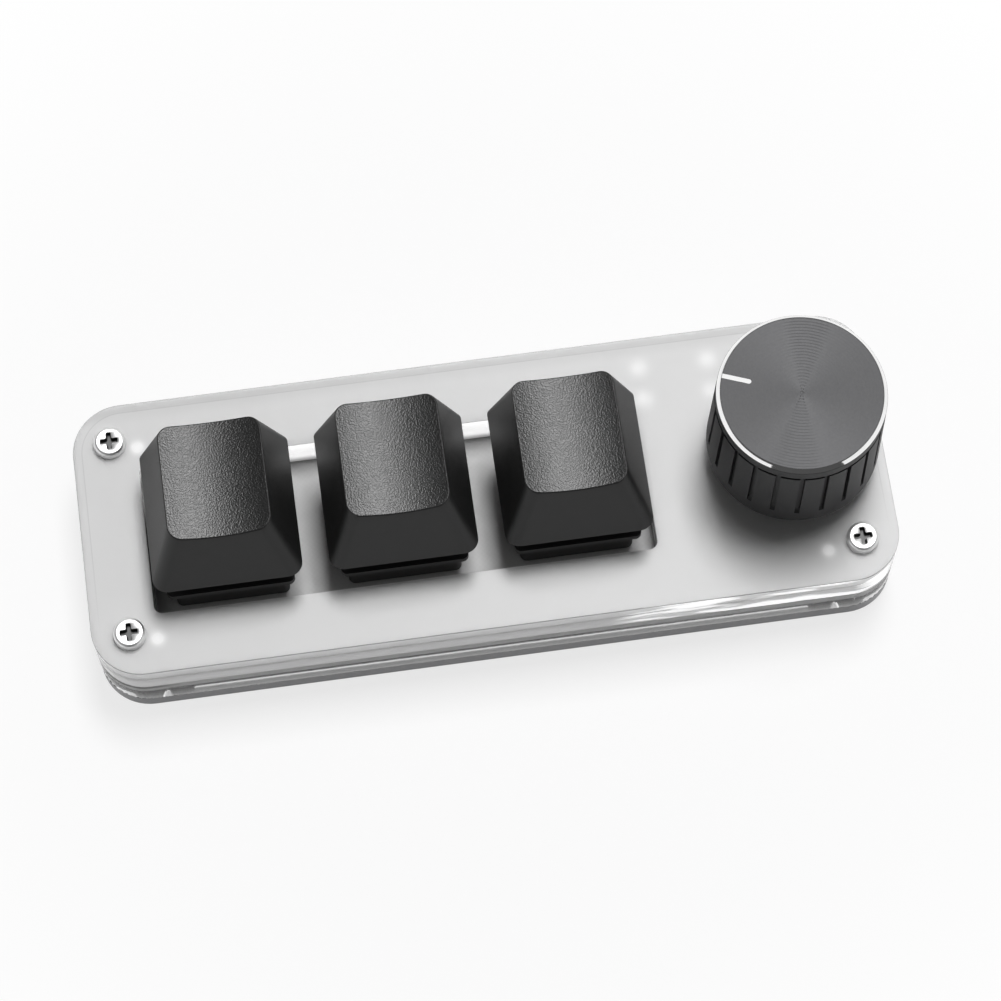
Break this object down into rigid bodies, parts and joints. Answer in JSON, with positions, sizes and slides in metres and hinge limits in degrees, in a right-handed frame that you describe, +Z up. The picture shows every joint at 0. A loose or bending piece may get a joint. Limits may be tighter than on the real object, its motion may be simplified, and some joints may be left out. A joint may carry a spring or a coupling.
{
  "type": "macro keypad",
  "caption": "Low desk keypad: a row of sprung push keys and one grooved push-and-turn knob on a screwed stack of frosted and clear layers.",
  "frame": {"origin": "on the table, under the middle of the case", "axes": "+X along the case towards the knob, +Y to the rear edge with the connector, +Z up"},
  "size_m": [0.0988, 0.0352, 0.032],
  "materials": {
    "frosted_acrylic": "satin frosted sheet, light grey, polished rim",
    "clear_acrylic": "clear polished sheet with flame-bright cut edges",
    "board": "light solder mask",
    "dark_plate": "dark grey sheet",
    "bright_steel": "bright nickel plate",
    "plain_steel": "plain steel",
    "cast_metal": "die-cast zinc",
    "contact_metal": "gilt spring metal",
    "foot_rubber": "black rubber",
    "keycap_black": "fine leather grain on top, satin sides",
    "smoke_plastic": "dark smoke housing",
    "stem_plastic": "brown moulded plastic",
    "dark_anodised": "turned face, dark anodised, bright cut edge",
    "black_plastic": "black moulded plastic",
    "light_plastic": "natural moulded plastic",
    "ceramic": "ceramic"
  },
  "bodies": {
    "case": {"top_plate": "frosted_acrylic", "upper_frame": "clear_acrylic", "lower_frame": "clear_acrylic", "circuit_board": "board", "bottom_plate": "dark_plate", "case_screws": "bright_steel", "case_nuts": "plain_steel", "locating_pins": "plain_steel", "rubber_feet": "foot_rubber", "encoder_bushing": "cast_metal", "encoder_can": "plain_steel", "encoder_base": "black_plastic", "encoder_detent_spring": "contact_metal", "encoder_dome": "plain_steel", "encoder_terminals": "bright_steel", "usb_shell": "bright_steel", "usb_tongue": "black_plastic", "usb_contacts": "contact_metal", "controller_chip": "black_plastic", "chip_leads": "bright_steel", "capacitors": "ceramic", "resistors": "black_plastic", "switch_spring_1": "plain_steel", "switch_base_1": "black_plastic", "switch_cover_1": "smoke_plastic", "switch_contacts_1": "contact_metal", "switch_spring_2": "plain_steel", "switch_base_2": "black_plastic", "switch_cover_2": "smoke_plastic", "switch_contacts_2": "contact_metal", "switch_spring_3": "plain_steel", "switch_base_3": "black_plastic", "switch_cover_3": "smoke_plastic", "switch_contacts_3": "contact_metal"},
    "key_1": {"keycap_1": "keycap_black", "switch_stem_1": "stem_plastic"},
    "key_2": {"keycap_2": "keycap_black", "switch_stem_2": "stem_plastic"},
    "key_3": {"keycap_3": "keycap_black", "switch_stem_3": "stem_plastic"},
    "push": {"encoder_plunger": "light_plastic"},
    "knob": {"knob_shell": "dark_anodised", "knob_insert": "black_plastic", "encoder_shaft": "plain_steel", "encoder_rotor": "light_plastic"}
  },
  "joints": [
    {"name": "key_1_press", "type": "slide", "parent": "case", "child": "key_1", "axis": [0, 0, -1], "range_m": [0, 0.004], "stiffness_N_per_m": 100, "springref_m": -0.003, "deforming": ["switch_spring_1"]},
    {"name": "key_2_press", "type": "slide", "parent": "case", "child": "key_2", "axis": [0, 0, -1], "range_m": [0, 0.004], "stiffness_N_per_m": 100, "springref_m": -0.003, "deforming": ["switch_spring_2"]},
    {"name": "key_3_press", "type": "slide", "parent": "case", "child": "key_3", "axis": [0, 0, -1], "range_m": [0, 0.004], "stiffness_N_per_m": 100, "springref_m": -0.003, "deforming": ["switch_spring_3"]},
    {"name": "knob_push", "type": "slide", "parent": "case", "child": "push", "axis": [0, 0, -1], "range_m": [0, 0.0005], "stiffness_N_per_m": 3000, "springref_m": -0.0007, "deforming": ["encoder_dome"]},
    {"name": "knob_turn", "type": "hinge", "parent": "push", "child": "knob", "pos_m": [0.038, 0, 0], "axis": [0, 0, 1], "continuous": true}
  ]
}
